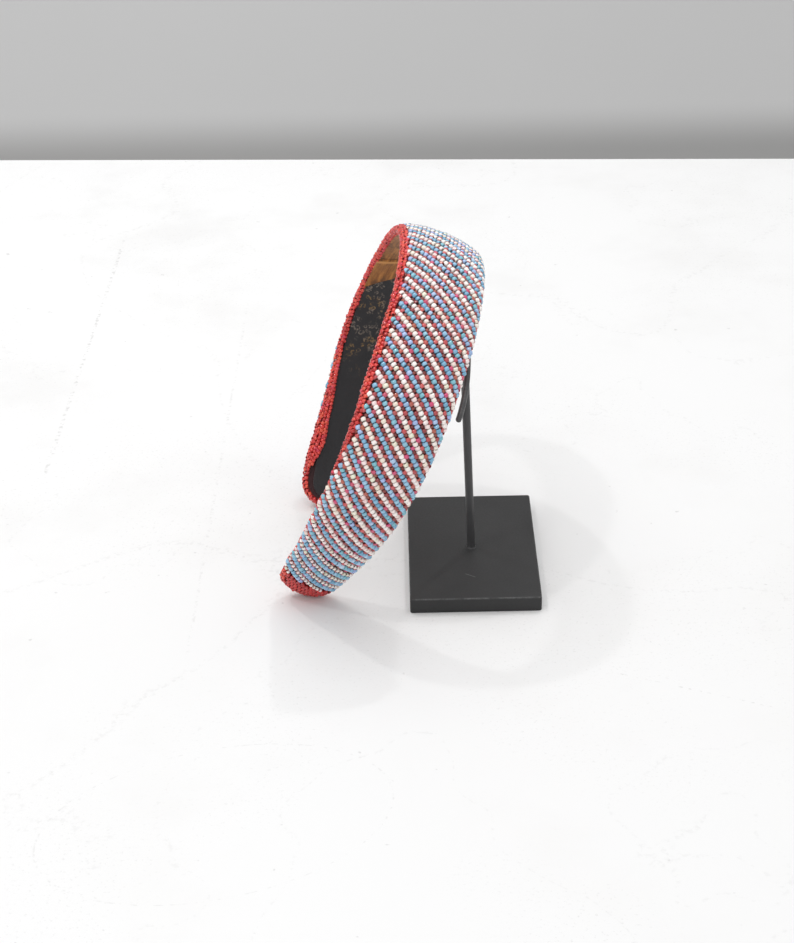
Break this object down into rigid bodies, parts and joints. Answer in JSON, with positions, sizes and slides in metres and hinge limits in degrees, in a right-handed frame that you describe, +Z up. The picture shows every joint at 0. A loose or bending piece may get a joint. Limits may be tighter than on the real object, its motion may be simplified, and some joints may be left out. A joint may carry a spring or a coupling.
{
  "type": "beaded headband on a display stand",
  "caption": "Padded crescent headband covered in diagonal rows of seed beads with a rolled red beaded edge, leaning on a plain rod stand with a flat base plate.",
  "frame": {"origin": "centre of the base plate's underside, on the table", "axes": "+Z up; +X from the headband's tips towards the post and plate; -Y is the near leg's side and +Y the far leg's"},
  "size_m": [0.1, 0.1342, 0.1378],
  "materials": {
    "stand_steel": "matt black paint over steel, a little worn at the edges",
    "ground_cloth": "dark woven ground cloth, seen between the beads",
    "face_beads": "round glass seed beads in diagonal rows: pearly white, sky blue and translucent red",
    "edge_beads": "opaque bright red glass seed beads",
    "ochre_cloth": "worn golden brown cloth with creases",
    "black_cloth": "black cloth with small faded tan flowers on its upper part"
  },
  "bodies": {
    "root": {"base_plate": "stand_steel", "post_and_saddle": "stand_steel", "padded_core": "ground_cloth", "bead_face": "face_beads", "edge_trim": "edge_beads", "crown_lining": "ochre_cloth", "near_leg_lining": "black_cloth", "far_leg_lining": "black_cloth"}
  },
  "joints": []
}
